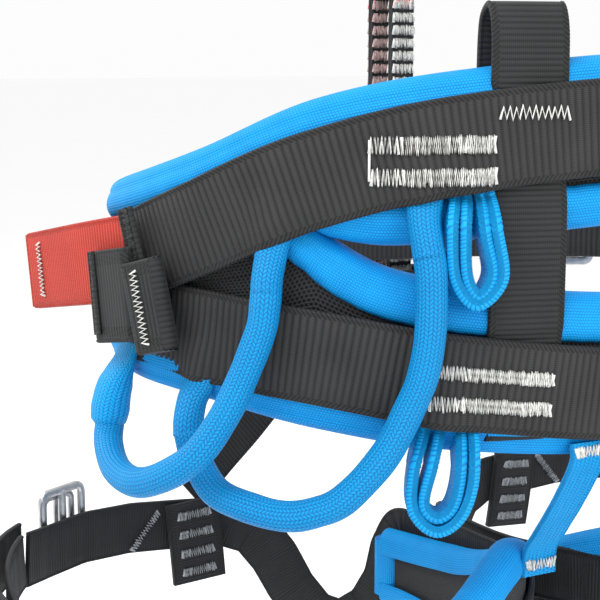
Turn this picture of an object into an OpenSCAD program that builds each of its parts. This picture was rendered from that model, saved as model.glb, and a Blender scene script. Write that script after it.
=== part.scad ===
// Climbing harness: padded waist belt, leg loops, gear loops, tie-in points and belay loop.
// +Z is up, the wearer faces -Y, +X is the wearer's left. The origin is the centre of the waist opening.

/* [Waist ring] */
// Half width of the belt, measured to the outer face of its pad
waist_a = 146; // [135:1:165]
// Half depth of the belt, measured to the outer face of its pad
waist_b = 106; // [98:1:120]
// Thickness of the pad's foam
foam_t = 7.6; // [5:0.2:9]
// Thickness of the binding and lining cloth
cloth_t = 0.8; // [0.6:0.1:1]
// Height of each leg of an edge binding
binding_h = 9; // [6:0.5:11]
// Angle of the pad's front end, below the side of the ring
pad_end = 30; // [25:5:35]

/* [Webbing] */
// Width of the two belt webbings and the front strap
belt_web = 30; // [26:1:32]
// Width of the back straps and strap tails
strap_web = 25; // [20:1:26]
// Thickness of every webbing
web_t = 1.8; // [1.4:0.1:2]
// Clearance between layers of cloth
gap = 0.3; // [0.2:0.05:0.4]

/* [Gear loops] */
// Diameter of the tubular gear loops
tube_d = 9.6; // [8:0.1:10]
// Width of the webbing of the small flat loops
tab_w = 9; // [8:0.5:10]

/* [Tie-in] */
// Distance of the tie-in line from the middle of the belt
tie_x = -33; // [-35:1:0]
// Width of the belay loop
belay_w = 12; // [10:1:16]
// Height of the belay loop
belay_h = 158; // [150:1:160]

/* [Leg loops] */
// Distance of each leg ring's centre from the middle plane
leg_x = 95; // [94:1:105]
// Half width of a leg ring
leg_a = 90; // [80:1:91]
// Half depth of a leg ring
leg_b = 96; // [88:1:100]
// Thickness of the leg pad
leg_foam_t = 6; // [4:0.5:8]
// Width of the leg webbing
leg_web = 22; // [18:1:25]

/* [Hidden] */
$fn = 48;

// Layers of the belt, as distances out from the pad's outer face
mesh_out = -cloth_t;
foam_out = mesh_out - cloth_t - 0.2;
foam_in = foam_out - foam_t;
lining_out = foam_in - 0.2;
lining_in = lining_out - cloth_t;
bind_in = lining_in - 0.2;
bind_out = mesh_out + 0.2 + cloth_t;
strap_off = bind_out + gap;
web_off = strap_off + web_t + gap;
step = 5;

// Belt stations: angle, top of the pad, middle of the upper webbing, middle of the lower webbing,
// bottom of the pad. Angle 0 is the wearer's left side and 90 the middle of the back.
BELT = [
  [-30, 12, -16, -20, -48], [0, 20, -9, -26, -49], [20, 30, 4, -29, -50.5],
  [40, 46, 21.5, -33, -57], [60, 54.5, 33, -40.5, -63.5], [90, 60, 39, -48, -68]
];
// The slot between the two pads: angle, upper edge, lower edge
SLOT = [[40, 5.2, 4.8], [50, 2.2, -6.3], [65, 4.6, -12.6], [90, 8, -17]];
slot_start = 40;

// A smooth curve through column k of a table, level at the table's last row
function row_at(t, a, i = 0) = (i >= len(t) - 2 || a < t[i + 1][0]) ? i : row_at(t, a, i + 1);
function slope_at(t, i, k) =
  i == 0 ? (t[1][k] - t[0][k]) / (t[1][0] - t[0][0]) :
  i == len(t) - 1 ? 0 : (t[i + 1][k] - t[i - 1][k]) / (t[i + 1][0] - t[i - 1][0]);
function hermite(t, a, k, i, h, u) =
  (2 * u ^ 3 - 3 * u ^ 2 + 1) * t[i][k] + (u ^ 3 - 2 * u ^ 2 + u) * h * slope_at(t, i, k)
  + (3 * u ^ 2 - 2 * u ^ 3) * t[i + 1][k] + (u ^ 3 - u ^ 2) * h * slope_at(t, i + 1, k);
function smooth(t, a, k) =
  let (i = row_at(t, a), h = t[i + 1][0] - t[i][0]) hermite(t, a, k, i, h, (a - t[i][0]) / h);
function belt_z(a, k) = smooth(BELT, a > 90 ? 180 - a : a, k);
function slot_z(a, k) = smooth(SLOT, a > 90 ? 180 - a : a, k);
function join_z(a) = (belt_z(a, 2) + belt_z(a, 3)) / 2 + 8 * max(0, a > 90 ? 150 - a : a - 30) / 10;

// A point on the belt, and the vertical half height of a band that is w wide along the belt's slope
function ring(a, off, z) = [(waist_a + off) * cos(a), (waist_b + off) * sin(a), z];
function run(a) = norm(ring(a + 1, 0, 0) - ring(a - 1, 0, 0));
function half_h(a, k, w) = w / 2 * sqrt(1 + ((belt_z(a + 1, k) - belt_z(a - 1, k)) / run(a)) ^ 2);
function span(a, b) = concat([a], [for (x = [ceil(a / step + 0.01) : floor(b / step - 0.01)]) x * step], [b]);

// A closed solid through rings of points, each ring with the same number of points. A ring that runs out
// along one side of a fold and back along the other has fold = true, and its ends close strip by strip.
module loft(rings, fold = false) {
  n = len(rings[0]);
  m = len(rings);
  sides = [for (i = [0 : m - 2], j = [0 : n - 1]) let (k = (j + 1) % n)
    each [[i * n + j, i * n + k, (i + 1) * n + j], [i * n + k, (i + 1) * n + k, (i + 1) * n + j]]];
  ends = fold ? [for (j = [0 : n / 2 - 2]) [j, j + 1, n - 2 - j, n - 1 - j]] : [[for (j = [0 : n - 1]) j]];
  caps = concat([for (f = ends) [for (i = [len(f) - 1 : -1 : 0]) f[i]]],
    [for (f = ends) [for (i = f) (m - 1) * n + i]]);
  polyhedron([for (r = rings) each r], concat(sides, caps), convexity = 8);
}

// A band round the belt: sec gives the section at each angle as [distance out, height] points
module band(angles, sec, fold = false) {
  loft([for (a = angles) [for (p = sec(a)) ring(a, p[0], p[1])]], fold);
}
function box_sec(o0, o1, z0, z1) = [[o0, z0], [o1, z0], [o1, z1], [o0, z1]];

// Both halves of the harness
module both(m) {
  if (m) mirror([1, 0, 0]) children();
  else children();
}

// --- belt pads -------------------------------------------------------------------------------------

pad_angles = concat(span(-pad_end, slot_start), span(slot_start + step, 180 - slot_start - step),
  span(180 - slot_start, 180 + pad_end));
slot_angles = span(slot_start + 6, 174 - slot_start);
// How far the layers of a pad stop short of the fold of its binding
edge = 2;
function in_slot(a) = a > slot_start && a < 180 - slot_start;
function upper_bottom(a) = in_slot(a) ? slot_z(a, 1) : join_z(a) + gap / 2;
function lower_top(a) = in_slot(a) ? slot_z(a, 2) : join_z(a) - gap / 2;

module upper_layer(o0, o1) {
  band(pad_angles, function (a)
    box_sec(o0, o1, upper_bottom(a) + (in_slot(a) ? edge : 0), belt_z(a, 1) - edge));
}
module lower_layer(o0, o1) {
  band(pad_angles, function (a)
    box_sec(o0, o1, belt_z(a, 4) + edge, lower_top(a) - (in_slot(a) ? edge : 0)));
}
module upper_foam() { color("dimgray") upper_layer(foam_in, foam_out); }
module lower_foam() { color("dimgray") lower_layer(foam_in, foam_out); }
module outer_mesh() {
  color("black") {
    upper_layer(foam_out + 0.2, mesh_out);
    lower_layer(foam_out + 0.2, mesh_out);
  }
}
module inner_lining() {
  color("black") {
    upper_layer(lining_in, lining_out);
    lower_layer(lining_in, lining_out);
  }
}
// The section of a channel with cut corners, open towards s, round the edge at height e
function channel(o0, o1, e, s, h) = let (c = 1.6, t = cloth_t, k = c + t * 0.4, p = [
  [o0, e + s * h], [o0, e + s * c], [o0 + c, e], [o1 - c, e], [o1, e + s * c], [o1, e + s * h],
  [o1 - t, e + s * h], [o1 - t, e + s * k], [o1 - k, e + s * t], [o0 + k, e + s * t], [o0 + t, e + s * k],
  [o0 + t, e + s * h]]) s < 0 ? [for (i = [11 : -1 : 0]) p[i]] : p;
// A folded binding over an edge at height z(a), which opens downwards (s = -1) or upwards (s = 1)
module binding(angles, z, s) {
  band(angles, function (a) channel(bind_in - cloth_t, bind_out, z(a), s, binding_h), true);
}
module upper_edge_binding() { color("deepskyblue") binding(pad_angles, function (a) belt_z(a, 1), -1); }
module lower_edge_binding() { color("deepskyblue") binding(pad_angles, function (a) belt_z(a, 4), 1); }
module upper_slot_binding() { color("deepskyblue") binding(slot_angles, function (a) slot_z(a, 1), 1); }
module lower_slot_binding() { color("deepskyblue") binding(slot_angles, function (a) slot_z(a, 2), -1); }

// --- belt webbing ----------------------------------------------------------------------------------

web_end = pad_end - 5;
web_angles = span(-web_end, 180 + web_end);
// The lower webbing dips under the upper one towards the front, where the two cross
function side_angle(a) = a > 90 ? 180 - a : a;
function dip(a) = let (u = min(max((side_angle(a) - 24) / 12, 0), 1)) u * u * (3 - 2 * u);
function lower_off(a) = strap_off + (web_off - strap_off) * dip(a);
module upper_webbing() {
  color("dimgray") band(web_angles, function (a) let (h = half_h(a, 2, belt_web))
    box_sec(web_off, web_off + web_t, belt_z(a, 2) - h, belt_z(a, 2) + h));
}
module lower_webbing() {
  color("dimgray") band(web_angles, function (a) let (h = half_h(a, 3, belt_web), o = lower_off(a))
    box_sec(o, o + web_t, belt_z(a, 3) - h, belt_z(a, 3) + h));
}

// A back strap runs up the outside of the belt, stands up as a loop and comes down inside
strap_a0 = 63;
strap_a1 = 74;
strap_top = 76;
strap_foot = -60;
strap_in = bind_in - cloth_t - gap;
strap_in_foot = 30;
module back_strap() {
  out = strap_off + web_t;
  inn = strap_in - web_t;
  outline = [[out, strap_foot], [out, strap_top - 5], [out - 2, strap_top - 1.5],
    [out - 5, strap_top], [inn + 5, strap_top], [inn + 2, strap_top - 1.5], [inn, strap_top - 5],
    [inn, strap_in_foot], [strap_in, strap_in_foot], [strap_in, strap_top - 6],
    [strap_in + 0.8, strap_top - 4],    [strap_in + 3, strap_top - web_t - 1], [strap_off - 3, strap_top - web_t - 1],
    [strap_off - 0.8, strap_top - 4],    [strap_off, strap_top - 6], [strap_off, strap_foot]];
  color("dimgray") band(span(strap_a0, strap_a1), function (a) outline, true);
}
module back_strap_l() { back_strap(); }
module back_strap_r() { both(true) back_strap(); }

// --- front closure ---------------------------------------------------------------------------------

front_z = -18;
buckle_a = -48;
buckle_half = 6;
// The front strap runs between the pads' front ends, inside the belt webbings
front_in = strap_off;
module front_strap() {
  h = belt_web / 2;
  color("dimgray") band(span(-180 + pad_end + 4, -pad_end - 4), function (a)
    box_sec(front_in, front_in + web_t, front_z - h, front_z + h));
}
// A flat buckle frame in its own plane: x along the strap, z across it
module frame_plate(w, h, t, bar) {
  rotate([90, 0, 0]) linear_extrude(t, center = true) difference() {
    square([w, h + 2 * bar], center = true);
    for (s = [-1, 1]) translate([s * (w / 4 - bar / 8), 0])
      square([w / 2 - bar * 1.6, h + 0.8], center = true);
  }
}
// Places children on the belt at angle a, their y axis pointing outwards
module on_ring(a, off, z) {
  p = ring(a, off, z);
  n = [cos(a) / waist_a, sin(a) / waist_b];
  translate(p) rotate([0, 0, atan2(n[1], n[0]) - 90]) children();
}
buckle_t = 2.4;
module waist_buckle() {
  color("silver") on_ring(buckle_a, strap_off + web_t + gap + buckle_t / 2, front_z)
    frame_plate(30, belt_web + 1, buckle_t, 4);
}
module waist_buckle_l() { waist_buckle(); }
module waist_buckle_r() { both(true) waist_buckle(); }
bar_t = 2.2;
module waist_buckle_bar() {
  color("gray") on_ring(buckle_a, strap_off + web_t + 2 * gap + buckle_t + bar_t / 2 + 0.2, front_z)
    frame_plate(22, belt_web - 4, bar_t, 3.5);
}
module waist_buckle_bar_l() { waist_buckle_bar(); }
module waist_buckle_bar_r() { both(true) waist_buckle_bar(); }

// --- tie-in points and belay loop ------------------------------------------------------------------

front_y = -waist_b;
// A closed loop of webbing: an outline in the y-z plane, w wide along x, centred on [y, z]
module yz_loop(w, y, z, ry, rz, t, r) {
  translate([-w / 2, 0, 0]) rotate([90, 0, 90]) linear_extrude(w) translate([y, z]) difference() {
    rounded(2 * ry, 2 * rz, r);
    rounded(2 * (ry - t), 2 * (rz - t), max(r - t, 0.5));
  }
}
module rounded(w, h, r) {
  union() {
    square([w - 2 * r, h], center = true);
    square([w, h - 2 * r], center = true);
    for (x = [-1, 1], y = [-1, 1]) translate([x * (w / 2 - r), y * (h / 2 - r)]) circle(r);
  }
}
tie_t = 2.4;
tie_w = 46;
tie_deep = 18;
tie_y = front_y - front_in - web_t - gap - tie_deep / 2;
// A tie-in point is an upright sleeve of webbing, which the belay loop runs down through
module tie_in(z, h) {
  color("dimgray") translate([tie_x, tie_y, z]) linear_extrude(h, center = true) difference() {
    rounded(tie_w, tie_deep, 7);
    rounded(tie_w - 2 * tie_t, tie_deep - 2 * tie_t, 5);
  }
}
lower_tie_z = -48;
module tie_in_upper() { tie_in(front_z, 20); }
module tie_in_lower() { tie_in(lower_tie_z, 18); }
belay_t = 4;
belay_ry = 11;
belay_top = 94;
module belay_loop() {
  color("dimgray") translate([tie_x, tie_y + belay_t / 2 - belay_ry, belay_top - belay_h / 2])
    yz_loop(belay_w, 0, 0, belay_ry, belay_h / 2, belay_t, 10);
}

// --- strap keepers and tails -----------------------------------------------------------------------

keeper_a = 6;
keeper_w = 26;
keeper_h = 31;
keeper_deep = 5.2;
keeper_z = -19;
fold_a = 19;
fold_w = 13;
fold_deep = 6.4;
strap_tilt = 10;
tail_t = 3.6;
keeper_off = web_off + web_t + tail_t + 2 * gap + keeper_deep / 2;
// A keeper is a sleeve of webbing, sewn down through a thick folded end behind it
module keeper() {
  color("dimgray") {
    on_ring(keeper_a, keeper_off, keeper_z) rotate([0, strap_tilt, 0]) linear_extrude(keeper_h, center = true)
      difference() {
        rounded(keeper_w, keeper_deep, 2.5);
        rounded(keeper_w - 2 * web_t, keeper_deep - 2 * web_t, 0.7);
      }
    on_ring(fold_a, web_off + web_t + gap + fold_deep / 2 + 0.5, keeper_z - 1) rotate([0, strap_tilt, 0])
      cube([fold_w, fold_deep, keeper_h - 1], center = true);
  }
}
module strap_keeper_l() { keeper(); }
module strap_keeper_r() { both(true) keeper(); }
tail_len = 85;
tail_inside = 18;
tail_lift = 12;
// A strap tail lies between the belt and its keeper, and runs out forwards
module tail() {
  color("red") on_ring(keeper_a, keeper_off, keeper_z) rotate([0, strap_tilt, 0])
    translate([tail_len / 2 + keeper_w / 2 - tail_inside, -(keeper_deep + tail_t) / 2 - gap, tail_lift])
      cube([tail_len, tail_t, belt_web - 1], center = true);
}
module strap_tail_l() { tail(); }
module strap_tail_r() { both(true) tail(); }

// --- gear loops ------------------------------------------------------------------------------------

// Points on a gear loop: angle, height, distance out from the pad's face
FRONT_LOOP = [
  [35, -5, 10], [35.5, -14, 11], [35, -24, 12], [33, -39, 15], [31.2, -51, 19], [28.6, -62, 23], [24.2, -70, 24],
  [18, -75.5, 22], [11, -75, 18], [5.5, -69, 14], [3.5, -61, 11]
];
REAR_LOOP = [
  [56.2, 5, 10], [56.5, -7, 11], [56.5, -22, 12], [55.8, -35, 12], [54.4, -45, 12], [51.3, -61, 13],
  [46.5, -75, 14], [42.6, -80, 14], [38.8, -82, 13.5], [33.9, -81, 12.5], [27.7, -77.5, 11], [23.7, -68, 9.5],
  [22.3, -59, 9.5]
];
function vunit(v) = v / norm(v);
function mid_tangent(p, i) = vunit(p[min(i + 1, len(p) - 1)] - p[max(i - 1, 0)]);
module tube(p, r, sides) {
  loft([for (i = [0 : len(p) - 1]) let (
    t = mid_tangent(p, i), o = vunit([p[i][0] * waist_b, p[i][1] * waist_a, 0]),
    u = vunit(cross(t, o)), v = cross(u, t)) [for (j = [0 : sides - 1]) let (q = 360 / sides * j)
    p[i] + r * (cos(q) * u + sin(q) * v)]]);
}
function on_belt(l) = [for (q = l) ring(q[0], q[2], q[1])];
module gear_tube(l) { color("deepskyblue") tube(on_belt(l), tube_d / 2, 10); }
module gear_loop_front_l() { gear_tube(FRONT_LOOP); }
module gear_loop_front_r() { both(true) gear_tube(FRONT_LOOP); }
module gear_loop_rear_l() { gear_tube(REAR_LOOP); }
module gear_loop_rear_r() { both(true) gear_tube(REAR_LOOP); }

// The folded tab that holds the front end of the front gear loop
sleeve_a = 3;
module sleeve() {
  color("deepskyblue") on_ring(sleeve_a, 7, -51) cube([13, 8.4, 14], center = true);
}
module gear_sleeve_l() { sleeve(); }
module gear_sleeve_r() { both(true) sleeve(); }

// --- small loops -----------------------------------------------------------------------------------

// A flat loop of folded webbing that hangs in the plane of the belt: width, length, depth of the band
module flat_loop(w, l, t, deep) {
  rotate([90, 0, 0]) translate([0, 0, -deep / 2]) linear_extrude(deep) difference() {
    union() {
      translate([0, -l + w / 2]) circle(w / 2);
      polygon([[-w / 2, -l + w / 2], [w / 2, -l + w / 2], [w / 2 - 3, 0], [-w / 2 + 3, 0]]);
    }
    union() {
      translate([0, -l + w / 2]) circle(w / 2 - t);
      polygon([[-w / 2 + t, -l + w / 2], [w / 2 - t, -l + w / 2], [1.2, -5], [-1.2, -5]]);
    }
  }
}
small_off = web_off + tab_w / 2;
module accessory_upper() {
  color("deepskyblue") on_ring(62.4, small_off, belt_z(62.4, 2) - half_h(62.4, 2, belt_web) - 1.2)
    flat_loop(15, 34, 4.2, tab_w);
}
module accessory_lower() {
  color("deepskyblue") on_ring(58, small_off, belt_z(58, 3) - half_h(58, 3, belt_web) - 1.2)
    flat_loop(20, 34, 4.4, tab_w);
}
module accessory_upper_l() { accessory_upper(); }
module accessory_upper_r() { both(true) accessory_upper(); }
module accessory_lower_l() { accessory_lower(); }
module accessory_lower_r() { both(true) accessory_lower(); }
module haul_loop() {
  color("deepskyblue") on_ring(90, small_off, belt_z(90, 3) - belt_web / 2 - 1.2)
    flat_loop(26, 48, 4.2, tab_w);
}

// --- leg loops -------------------------------------------------------------------------------------

// Leg stations: angle from the outer side towards the back, top of the pad, middle of the webbing, bottom
LEG = [
  [-40, -124, -134, -150], [0, -122, -140, -180], [60, -120, -150, -200], [95, -122, -152, -200],
  [125, -104, -138, -186], [150, -116, -134, -178], [180, -134, -138, -170], [205, -138, -140, -168]
];
leg_end0 = 6;
leg_end1 = 205;
// Leg webbing past the pad's inner end: angle, height
LEG_FRONT = [
  [206, -150], [208, -164], [213, -178], [221, -187], [230, -184], [237, -172], [242, -158], [248, -146],
  [256, -141], [266, -140], [278, -138], [292, -137], [306, -137], [317, -135]
];
leg_p = 2.3;
function pw(x) = sign(x) * abs(x) ^ (2 / leg_p);
function leg_ring(a, off, z) = [leg_x + (leg_a + off) * pw(cos(a)), (leg_b + off) * pw(sin(a)), z];
function leg_z(a, k) = smooth(LEG, a, k);
leg_step = 8;
function leg_span(a, b) = let (n = ceil((b - a) / leg_step)) [for (i = [0 : n]) a + (b - a) * i / n];
module leg_band(angles, sec, fold = false) {
  loft([for (a = angles) [for (p = sec(a)) leg_ring(a, p[0], p[1])]], fold);
}
leg_pad_angles = leg_span(leg_end0, leg_end1);
leg_in = -1.2 - leg_foam_t;
module leg_foam() {
  color("dimgray") leg_band(leg_pad_angles, function (a)
    box_sec(leg_in, -1.2, leg_z(a, 3) + edge, leg_z(a, 1) - edge));
}
module leg_foam_l() { leg_foam(); }
module leg_foam_r() { both(true) leg_foam(); }
module leg_lining() {
  color("black") leg_band(leg_pad_angles, function (a)
    box_sec(leg_in - 1, leg_in - 0.2, leg_z(a, 3) + edge, leg_z(a, 1) - edge));
}
module leg_lining_l() { leg_lining(); }
module leg_lining_r() { both(true) leg_lining(); }
// An edge binding over the leg pad, closed like a flattened bead
module leg_edge(k, s) {
  leg_band(leg_pad_angles, function (a) channel(leg_in - 2, -0.2, leg_z(a, k), s, 8), true);
}
module leg_binding() {
  color("deepskyblue") {
    leg_edge(1, -1);
    leg_edge(3, 1);
  }
}
module leg_binding_l() { leg_binding(); }
module leg_binding_r() { both(true) leg_binding(); }

leg_off = 0.1;
module leg_webbing() {
  h = leg_web / 2;
  pts = concat([for (a = leg_span(-40, 203)) [a, leg_z(a, 2)]], LEG_FRONT);
  mid = [for (q = pts) leg_ring(q[0], leg_off + web_t / 2, q[1])];
  color("dimgray") loft([for (i = [0 : len(mid) - 1]) let (
    o = vunit([(mid[i][0] - leg_x) * leg_b ^ 2, mid[i][1] * leg_a ^ 2, 0]),
    w = vunit(cross(mid_tangent(mid, i), o)))
    [mid[i] - w * h - o * web_t / 2, mid[i] + w * h - o * web_t / 2, mid[i] + w * h + o * web_t / 2,
      mid[i] - w * h + o * web_t / 2]]);
}
module leg_webbing_l() { leg_webbing(); }
module leg_webbing_r() { both(true) leg_webbing(); }

// Places children on the leg ring at angle a, their y axis pointing outwards
module on_leg(a, off, z) {
  d = leg_ring(a + 1, off, z) - leg_ring(a - 1, off, z);
  translate(leg_ring(a, off, z)) rotate([0, 0, atan2(d[1], d[0]) + 180]) children();
}
patch_a = 264;
patch_z = -148;
// The patch lies on the inner side of the leg webbing
module leg_patch() {
  color("dimgray") on_leg(patch_a, leg_off - gap - 2.9, patch_z) cube([24, 4, 36], center = true);
}
module leg_patch_l() { leg_patch(); }
module leg_patch_r() { both(true) leg_patch(); }
// The tie strap climbs from the patch to the lower tie-in loop
TIE = [[81, -105, -128], [72, -109, -116], [60, -113, -102], [47, -116, -84], [36, -118, -66], [30, -118.5, -50]];
module leg_tie_strap(dx) {
  h = strap_web * 0.42;
  color("dimgray") loft([for (i = [0 : len(TIE) - 1]) let (q = TIE[i] + [dx * i / 5, 0, 0], t = mid_tangent(TIE, i),
    u = vunit(cross(t, [0, 1, 0]))) [q - u * h - [0, 1, 0], q + u * h - [0, 1, 0], q + u * h + [0, 1, 0],
    q - u * h + [0, 1, 0]]]);
}
tie_end = tie_w / 2 + 11;
module leg_tie_strap_l() { leg_tie_strap(tie_x + tie_end - 30); }
module leg_tie_strap_r() { both(true) leg_tie_strap(-tie_x + tie_end - 30); }

leg_buckle_a = -62;
leg_buckle_z = -128;
leg_buckle_off = leg_off + web_t + gap + buckle_t / 2;
module leg_buckle() {
  color("silver") on_leg(leg_buckle_a, leg_buckle_off, leg_buckle_z) frame_plate(26, leg_web + 1, buckle_t, 3.5);
}
module leg_buckle_l() { leg_buckle(); }
module leg_buckle_r() { both(true) leg_buckle(); }
module leg_buckle_bar() {
  color("gray") on_leg(leg_buckle_a, leg_buckle_off + (buckle_t + bar_t) / 2 + gap, leg_buckle_z)
    frame_plate(19, leg_web - 4, bar_t, 3);
}
module leg_buckle_bar_l() { leg_buckle_bar(); }
module leg_buckle_bar_r() { both(true) leg_buckle_bar(); }

// A keeper band wraps round the tail, lying on the leg webbing
module leg_keeper() {
  w = leg_web + 2 * web_t + 2;
  color("dimgray") on_leg(-18, 7.9, -134) rotate([0, 90, 0]) linear_extrude(14, center = true) difference() {
    rounded(w, 6.4, 2.6);
    rounded(w - 2 * web_t, 6.4 - 2 * web_t, 1.2);
  }
}
module leg_keeper_l() { leg_keeper(); }
module leg_keeper_r() { both(true) leg_keeper(); }
module leg_tail() {
  h = leg_web / 2;
  z = -134;
  color("dimgray") loft([for (a = leg_span(-48, 4)) [for (p = box_sec(7, 7 + web_t, z - h, z + h))
    leg_ring(a, p[0], p[1])]]);
}
module leg_tail_l() { leg_tail(); }
module leg_tail_r() { both(true) leg_tail(); }

// The elastic riser hangs the back of a leg loop from the belt
RISER = [[32, 105.8, -64.5], [32, 105.6, -69], [32, 97, -84], [32, 88, -97], [32, 82.6, -105], [32, 82, -113]];
module riser() {
  color("deepskyblue") loft([for (i = [0 : len(RISER) - 1]) let (q = RISER[i])
    [q + [-7, -0.8, 0], q + [7, -0.8, 0], q + [7, 0.8, 0], q + [-7, 0.8, 0]]]);
}
module riser_l() { riser(); }
module riser_r() { both(true) riser(); }

upper_foam();
lower_foam();
outer_mesh();
inner_lining();
upper_edge_binding();
upper_slot_binding();
lower_slot_binding();
lower_edge_binding();
upper_webbing();
lower_webbing();
back_strap_l();
back_strap_r();
front_strap();
waist_buckle_l();
waist_buckle_r();
waist_buckle_bar_l();
waist_buckle_bar_r();
strap_keeper_l();
strap_keeper_r();
strap_tail_l();
strap_tail_r();
tie_in_upper();
tie_in_lower();
belay_loop();
gear_sleeve_l();
gear_sleeve_r();
gear_loop_front_l();
gear_loop_rear_l();
gear_loop_front_r();
gear_loop_rear_r();
accessory_upper_l();
accessory_lower_l();
accessory_upper_r();
accessory_lower_r();
haul_loop();
riser_l();
riser_r();
leg_foam_l();
leg_foam_r();
leg_lining_l();
leg_lining_r();
leg_binding_l();
leg_binding_r();
leg_webbing_l();
leg_webbing_r();
leg_tie_strap_l();
leg_tie_strap_r();
leg_patch_l();
leg_patch_r();
leg_buckle_l();
leg_buckle_r();
leg_buckle_bar_l();
leg_buckle_bar_r();
leg_tail_l();
leg_tail_r();
leg_keeper_l();
leg_keeper_r();
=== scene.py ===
import math

import bmesh
import bpy
import numpy as np
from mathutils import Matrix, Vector


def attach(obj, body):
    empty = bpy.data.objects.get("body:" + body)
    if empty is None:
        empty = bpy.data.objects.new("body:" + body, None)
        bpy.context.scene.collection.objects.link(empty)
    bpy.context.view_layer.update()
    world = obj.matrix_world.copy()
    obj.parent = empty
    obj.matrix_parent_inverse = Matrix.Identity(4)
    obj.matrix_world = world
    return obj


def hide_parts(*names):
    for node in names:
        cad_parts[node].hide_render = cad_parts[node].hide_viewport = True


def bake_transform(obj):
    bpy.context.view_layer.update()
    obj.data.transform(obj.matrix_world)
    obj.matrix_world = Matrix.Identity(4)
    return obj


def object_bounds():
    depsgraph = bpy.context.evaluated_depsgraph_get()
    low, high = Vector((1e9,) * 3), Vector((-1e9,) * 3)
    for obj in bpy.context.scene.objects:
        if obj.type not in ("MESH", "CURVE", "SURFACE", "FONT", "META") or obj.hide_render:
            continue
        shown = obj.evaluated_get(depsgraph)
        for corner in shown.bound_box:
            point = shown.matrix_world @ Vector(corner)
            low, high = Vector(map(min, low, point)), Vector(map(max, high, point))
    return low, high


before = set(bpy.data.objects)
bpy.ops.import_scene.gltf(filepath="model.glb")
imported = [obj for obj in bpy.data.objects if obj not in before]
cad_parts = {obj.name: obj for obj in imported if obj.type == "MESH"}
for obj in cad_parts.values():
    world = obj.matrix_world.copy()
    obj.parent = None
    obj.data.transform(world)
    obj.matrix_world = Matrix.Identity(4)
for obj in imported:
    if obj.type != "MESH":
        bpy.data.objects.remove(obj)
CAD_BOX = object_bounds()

MM = 0.001
X = np.array([1.0, 0, 0])
UP = np.array([0, 0, 1.0])
# name ending of each side, and whether it mirrors the wearer's left, which is the side modelled
SIDES = (("_l", False), ("_r", True))
rng = np.random.default_rng(7)

# --- driving dimensions of the belt, in millimetres, as in the CAD ---------------------------------

WAIST_A, WAIST_B = 146.0, 106.0
PAD_END = 30
WEB_W, STRAP_W, WEB_T = 30.0, 25.0, 1.8
BIND_IN, BIND_OUT = -10.6, 0.2
STRAP_OFF = 0.5
WEB_OFF = STRAP_OFF + WEB_T + 0.3
# angle, top of the pad, middle of the upper webbing, middle of the lower webbing, bottom of the pad
BELT = np.array([[-30, 12, -16, -20, -48], [0, 20, -9, -26, -49], [20, 30, 4, -29, -50.5],
                 [40, 46, 21.5, -33, -57], [60, 54.5, 33, -40.5, -63.5], [90, 60, 39, -48, -68]])
SLOT = np.array([[40, 5.2, 4.8], [50, 2.2, -6.3], [65, 4.6, -12.6], [90, 8, -17]])
SLOT_START = 40
LEG_X, LEG_A, LEG_B, LEG_P = 95.0, 90.0, 96.0, 2.3
# angle, top of the pad, middle of the webbing, bottom of the pad
LEG = np.array([[-40, -124, -134, -150], [0, -122, -140, -180], [60, -120, -150, -200],
                [95, -122, -152, -200], [125, -104, -138, -186], [150, -116, -134, -178],
                [180, -134, -138, -170], [205, -138, -140, -168]])


# --- small geometry helpers ------------------------------------------------------------------------

def smooth_row(table, a, k):
    """The CAD's smooth curve through column k of a table, at angles a."""
    a = np.clip(np.asarray(a, float), table[0, 0], table[-1, 0])
    x, y = table[:, 0], table[:, k]
    m = np.zeros(len(x))
    m[0] = (y[1] - y[0]) / (x[1] - x[0])
    m[1:-1] = (y[2:] - y[:-2]) / (x[2:] - x[:-2])
    i = np.clip(np.searchsorted(x, a, side="right") - 1, 0, len(x) - 2)
    h = x[i + 1] - x[i]
    u = (a - x[i]) / h
    return ((2 * u**3 - 3 * u**2 + 1) * y[i] + (u**3 - 2 * u**2 + u) * h * m[i]
            + (3 * u**2 - 2 * u**3) * y[i + 1] + (u**3 - u**2) * h * m[i + 1])


def belt_z(a, k):
    a = np.asarray(a, float)
    return smooth_row(BELT, np.where(a > 90, 180 - a, a), k)


def slot_z(a, k):
    a = np.asarray(a, float)
    return smooth_row(SLOT, np.where(a > 90, 180 - a, a), k)


def slot_edge(a, k):
    """The slot's edge, running on up under the upper webbing past the slot's ends."""
    side = np.where(a > 90, 180 - a, a)
    return slot_z(a, k) + 1.5 * np.maximum(0, SLOT_START + 1 - side) * (side < SLOT_START + 1)


def joined(*parts):
    """Stacks coordinates of any matching shapes into points."""
    return np.stack(np.broadcast_arrays(*parts), -1).astype(float)


def ring(a, off, z):
    r = np.radians(np.asarray(a, float))
    return joined((WAIST_A + off) * np.cos(r), (WAIST_B + off) * np.sin(r), z)


def ring_out(a):
    r = np.radians(np.asarray(a, float))
    n = np.stack([np.cos(r) / WAIST_A, np.sin(r) / WAIST_B, np.zeros_like(r)], -1)
    return n / np.linalg.norm(n, axis=-1, keepdims=True)


def power(x):
    return np.sign(x) * np.abs(x) ** (2 / LEG_P)


def leg_ring(a, off, z):
    r = np.radians(np.asarray(a, float))
    return joined(LEG_X + (LEG_A + off) * power(np.cos(r)), (LEG_B + off) * power(np.sin(r)), z)


def unit(v):
    return v / np.maximum(np.linalg.norm(v, axis=-1, keepdims=True), 1e-9)


def resample(p, step, closed=False):
    """Points about a step apart along a polyline."""
    p = np.asarray(p, float)
    if closed:
        p = np.vstack([p, p[:1]])
    s = np.concatenate([[0], np.cumsum(np.linalg.norm(np.diff(p, axis=0), axis=1))])
    n = max(2, int(round(s[-1] / step)))
    t = np.linspace(0, s[-1], n + 1)
    q = np.stack([np.interp(t, s, p[:, k]) for k in range(p.shape[1])], -1)
    return q[:-1] if closed else q


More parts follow.
